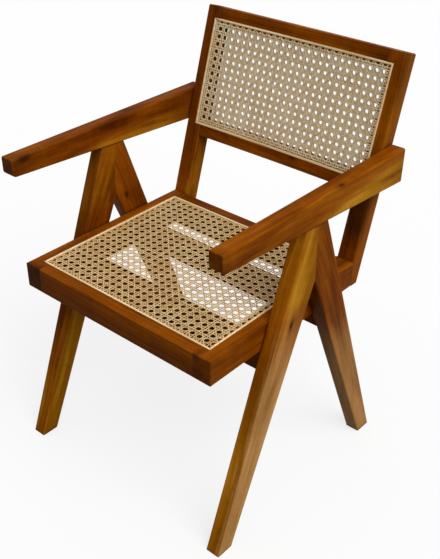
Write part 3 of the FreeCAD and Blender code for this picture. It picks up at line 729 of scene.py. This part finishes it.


# Split cane and reed

# Painted shade in the crevices between the strands, and how far it reaches
CREVICE_REACH = 1.5 * MM
CREVICE_SHADE = tone(104, 62, 26)
STRIP_SHADE = Pattern(260, 7, 2.0)
STRIP_FIBRE = Pattern(2600, 40, 2.0)
STRIP_STAIN = Pattern(12, 12, 3.0)
STRIP_SPECULAR = 0.35
STRIP_BUMP = 0.15 * MM
CANE_ROUGHNESS = 0.3
REED_ROUGHNESS = 0.35
SEAT_CANE_TONES = [
    (0.1, tone(166, 119, 62)),
    (0.4, tone(212, 171, 109)),
    (0.65, tone(234, 201, 143)),
    (0.9, tone(248, 226, 182)),
]
# The back's cane has paler tones than the seat's: painted light that makes up for the shade it
# stands in
BACK_CANE_TONES = [
    (0.1, tone(182, 145, 97)),
    (0.4, tone(231, 200, 150)),
    (0.65, tone(246, 224, 180)),
    (0.9, tone(252, 239, 210)),
]
REED_TONES = [
    (0.15, tone(212, 172, 116)),
    (0.5, tone(237, 206, 154)),
    (0.9, tone(249, 228, 188)),
]


def strip_material(name, direction, tones, roughness):
    """Split cane or reed, with fine fibres along a direction."""
    graph = MaterialGraph(name)
    place = graph.local((0, 0, 0), direction)
    shade = graph.noise(place, STRIP_SHADE)
    fibre = graph.noise(place, STRIP_FIBRE)
    tint = graph.noise(place, STRIP_STAIN)
    value = graph.total(0.52, (shade, 0.5, 1.3), (fibre, 0.5, 0.35), (tint, 0.5, 0.4))
    # Painted shade darkens the crevices between the strands
    colour = graph.shade_and_stain_in_corners(graph.ramp(value, tones), CREVICE_REACH, CREVICE_SHADE)
    graph.bump(fibre, STRIP_BUMP)
    return graph.finish(colour, graph.math("MULTIPLY_ADD", shade, 0.2, roughness), STRIP_SPECULAR)


def weave_panel(panel, seed):
    """The four families of strands of a panel, each with its fibres along it."""
    weave = Weave(panel, seed)
    tones = SEAT_CANE_TONES if panel.name == "seat" else BACK_CANE_TONES
    families = [
        ("upright", panel.along, weave.upright),
        ("crosswise", RIGHT, weave.crosswise),
        ("rising", RIGHT + panel.along, lambda builder: weave.diagonal(builder, 1)),
        ("falling", RIGHT - panel.along, lambda builder: weave.diagonal(builder, -1)),
    ]
    for label, direction, lay in families:
        name = "%s_cane_%s" % (panel.name, label)
        builder = Builder()
        lay(builder)
        material = strip_material(name, direction, tones, CANE_ROUGHNESS)
        builder.make(name, material, "cane", panel.node)


# The boards, with the shades, knots and zones that the photograph shows on them

# Down from an arm and across a front leg, both leaning to the rear
UNDER_ARM = Vector((0, 0.1, -1))
ACROSS_LEG = Vector((0, 0.926, -0.377))

BOARDS = {
    "seat_front_rail": Board(0.48, (0.05, 0.03), figure=0.5, zones=[
        Zone(SHADE_AND_STAIN, 0.45, (DOWN, -0.41, -0.388)),
        # The dark zone on the rail's inner face is painted shade under the seat
        Zone(SHADE_AND_STAIN, 0.8, (REAR, -0.252, -0.244)),
    ]),
    "seat_rear_rail": Board(0.42, (0.07, -0.02), zones=[
        # The dark zone on the rail's inner face is painted shade under the seat
        Zone(SHADE_AND_STAIN, 0.8, (FRONT, -0.12, -0.105)),
    ]),
    "seat_side_rail_left": Board(0.46, (0.03, 0.06), zones=[
        Zone(SHADE_AND_STAIN, 0.9, (FRONT, 0.255, 0.275)),
        # The dark zone on the rail's inner face is painted shade under the seat
        Zone(SHADE_AND_STAIN, 0.8, (RIGHT, -0.235, -0.225), (DOWN, -0.42, -0.41)),
    ]),
    "seat_side_rail_right": Board(0.44, (-0.04, 0.05), zones=[
        Zone(SHADE_AND_STAIN, 0.1, (FRONT, 0.22, 0.27)),
    ]),
    "front_leg_left": Board(0.45, (0.06, 0.04), zones=[
        # The dark zone on the leg's front face is painted shade, where little key light falls
        Zone(SHADE_AND_STAIN, 0.7, (-ACROSS_LEG, 0.262, 0.285)),
        Zone(SAPWOOD, 0.85, (ACROSS_LEG, -0.274, -0.252), (DOWN, -0.38, -0.3)),
        Zone(SAPWOOD, 0.25, (ACROSS_LEG, -0.285, -0.265), (UP, 0.44, 0.5)),
    ]),
    "front_leg_right": Board(0.62, (-0.05, 0.05), [Knot((0.262, -0.097, 0.418), RIGHT, 0.0045)], [
        Zone(SAPWOOD, 0.8, (ACROSS_LEG, -0.282, -0.262), (UP, 0.43, 0.47)),
        Zone(SAPWOOD, 0.5, (DOWN, -0.38, -0.25)),
        # The pale zone on the leg's outer side is painted light, where the key light falls
        Zone(BLEACHED_AND_LIT, 0.85, (RIGHT, 0.25, 0.262), (DOWN, -0.46, -0.28)),
    ]),
    "rear_leg_left": Board(0.48, (0.08, -0.03), [Knot((-0.232, -0.0075, 0.466), RIGHT, 0.0045)],
                           figure=1.3),
    "rear_leg_right": Board(0.46, (0.04, -0.06), figure=1.2, zones=[
        # The paler lower part is partly bleached wood and partly a painted reflection of the floor
        Zone(BLEACHED_AND_LIT, 0.6, (DOWN, -0.4, -0.22)),
    ]),
    # The cross rails are darker boards as painted shade under the seat
    "front_cross_rail": Board(0.3, (0.06, 0.05)),
    "rear_cross_rail": Board(0.3, (-0.06, 0.04)),
    "armrest_left": Board(0.4, (0.05, -0.05), [Knot((-0.232, -0.246, 0.631), RIGHT + UP, 0.006)], [
        Zone(SAPWOOD, 0.55, (DOWN, -0.606, -0.592), (REAR, -0.1, -0.04), (FRONT, -0.2, -0.12)),
        Zone(SHADE_AND_STAIN, 0.5, (FRONT, 0.24, 0.272)),
        Zone(SHADE_AND_STAIN, 0.35, (REAR, 0.08, 0.16)),
    ], free_end=True, figure=1.3),
    "armrest_right": Board(0.56, (0.04, 0.07), [Knot((0.26, 0.03, 0.636), RIGHT + UP, 0.003)], [
        Zone(SAPWOOD, 0.85, (UNDER_ARM, -0.606, -0.586), (REAR, -0.04, 0.04)),
        Zone(SHADE_AND_STAIN, 0.25, (FRONT, 0.25, 0.273)),
    ], free_end=True, figure=1.4),
    "back_post_left": Board(0.48, (-0.07, 0.03), zones=[
        Zone(SAPWOOD, 0.45, (RIGHT, -0.2, -0.196), (DOWN, -0.56, -0.48)),
    ]),
    "back_post_right": Board(0.47, (0.05, 0.02), zones=[
        Zone(SAPWOOD, 0.25, (RIGHT, 0.222, 0.232), (UP, 0.6, 0.66)),
        # The dark zone on the post's front below the arm is a painted shadow of the arm
        Zone(SHADE_AND_STAIN, 0.8, (OUT_OF_BACK, -0.02, -0.008), (UP, 0.44, 0.49), (DOWN, -0.64, -0.6)),
    ]),
    "back_top_rail": Board(0.5, (0.03, -0.07), zones=[
        Zone(SHADE_AND_STAIN, 0.45, (RIGHT, 0.13, 0.2)),
        Zone(SHADE_AND_STAIN, 0.45, (LEFT, 0.15, 0.2)),
    ]),
    "back_bottom_rail": Board(0.44, (0.06, 0.06), [Knot((0.042, 0.171, 0.565), FRONT, 0.003)]),
}
HIDDEN_TENON = Board(0.55, (0.05, 0.04))


def finish_wood():
    """A material of its own for each wooden node."""
    for node, item in nodes.items():
        if "cane" not in node:
            item.data.materials.clear()
            item.data.materials.append(wood(node, BOARDS.get(node, HIDDEN_TENON)))


# The studio

LIGHT_FROM_HORIZON = 0.16
LIGHT_FROM_ZENITH = 0.74
FLOOR_SIZE = 24.0
FLOOR_TONE = 0.95
FLOOR_BOUNCE = 0.14
FLOOR_WHITE_SHARE = 0.75
WHITE = 1.0


def make_world():
    """Soft light all round, stronger from above, on a background that is seen as white."""
    world = bpy.data.worlds.new("studio")
    world.use_nodes = True
    graph = Graph(world.node_tree)
    direction = graph.add("ShaderNodeSeparateXYZ")
    graph.feed(direction.inputs[0], graph.coordinates("Generated"))
    light = graph.spread(direction.outputs["Z"], 0.0, 1.0, LIGHT_FROM_HORIZON, LIGHT_FROM_ZENITH)
    background = graph.add("ShaderNodeBackground")
    graph.feed(background.inputs["Color"], grey(WHITE))
    strength = graph.spread(graph.seen_plainly(1.0), 0.0, 1.0, light, WHITE)
    graph.feed(background.inputs["Strength"], strength)
    output = graph.add("ShaderNodeOutputWorld")
    graph.feed(output.inputs["Surface"], background.outputs[0])
    bpy.context.scene.world = world


def make_floor():
    """A floor that is seen as nearly white, keeps the chair's shadow and reflects little light."""
    half = FLOOR_SIZE / 2
    mesh = bpy.data.meshes.new("floor")
    corners = [(-half, -half, 0), (half, -half, 0), (half, half, 0), (-half, half, 0)]
    mesh.from_pydata(corners, [], [(0, 1, 2, 3)])
    floor = bpy.data.objects.new("floor", mesh)
    bpy.context.scene.collection.objects.link(floor)
    material = bpy.data.materials.new("floor")
    material.use_nodes = True
    graph = Graph(material.node_tree)
    diffuse = graph.add("ShaderNodeBsdfDiffuse")
    shade = graph.spread(graph.seen_plainly(1.0), 0.0, 1.0, FLOOR_BOUNCE, FLOOR_TONE)
    graph.feed(diffuse.inputs["Color"], shade)
    white = graph.add("ShaderNodeEmission")
    blend = graph.add("ShaderNodeMixShader")
    share = graph.seen_plainly(FLOOR_WHITE_SHARE)
    graph.feed_all(blend, (share, diffuse.outputs[0], white.outputs[0]))
    output = graph.add("ShaderNodeOutputMaterial")
    graph.feed(output.inputs["Surface"], blend.outputs[0])
    mesh.materials.append(material)


def make_sun(name, towards, strength, softness):
    """A soft light that shines along a direction. The softness is its width in degrees."""
    data = bpy.data.lights.new(name, "SUN")
    data.energy = strength
    data.angle = math.radians(softness)
    lamp = bpy.data.objects.new(name, data)
    lamp.rotation_euler = Vector(towards).to_track_quat("-Z", "Y").to_euler()
    bpy.context.scene.collection.objects.link(lamp)


def make_camera():
    """The photograph's viewpoint, found from about 60 of the chair's corners."""
    focal_pixels = 900.14
    photo_height = 559
    azimuth = math.radians(41.22)
    elevation = math.radians(32.59)
    data = bpy.data.cameras.new("camera")
    data.sensor_width = 36.0
    data.lens = focal_pixels / photo_height * data.sensor_width
    camera = bpy.data.objects.new("camera", data)
    camera.location = (0.9955, -1.1185, 1.3114)
    camera.rotation_euler = (math.pi / 2 - elevation, 0, azimuth)
    bpy.context.scene.collection.objects.link(camera)
    bpy.context.scene.camera = camera


finish_wood()
for seed, panel in enumerate(PANELS):
    weave_panel(panel, seed)
    reed_bead(panel, strip_material(panel.name + "_reed", RIGHT, REED_TONES, REED_ROUGHNESS))
make_world()
make_floor()
make_sun("key", (-0.68, 0.12, -0.72), strength=2.0, softness=50)
make_camera()
bpy.context.scene.view_settings.view_transform = "Standard"
